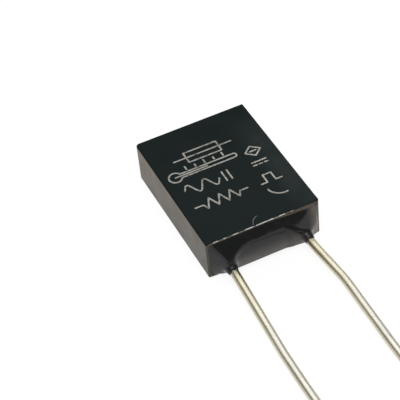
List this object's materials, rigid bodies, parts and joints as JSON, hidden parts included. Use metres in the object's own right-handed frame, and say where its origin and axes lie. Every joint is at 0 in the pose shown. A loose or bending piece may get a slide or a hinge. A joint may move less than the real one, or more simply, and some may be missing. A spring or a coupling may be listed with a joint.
{
  "type": "thermal fuse",
  "caption": "Radial thermal fuse: flat black moulded case sealed with resin, with tinned wire leads joined inside by a low-melting alloy link set in flux.",
  "frame": {"origin": "centre of the broad face that the part lies on, under the middle of the case", "axes": "+Z out of the marked broad face, -Y along the leads away from the case, X across the leads"},
  "size_m": [0.0108, 0.0494, 0.004],
  "materials": {
    "case_plastic": "black moulded plastic, satin, scuffed pale along the rim of the mouth",
    "potting_resin": "black potting resin, glossy",
    "tinned_wire": "tinned copper, bright with fine drawing marks",
    "fusible_alloy": "dull grey low-melting alloy",
    "rosin_flux": "amber rosin"
  },
  "bodies": {
    "root": {"case": "case_plastic", "sealing_resin": "potting_resin", "lead_left": "tinned_wire", "lead_right": "tinned_wire", "fusible_link": "fusible_alloy", "flux": "rosin_flux"}
  },
  "joints": []
}
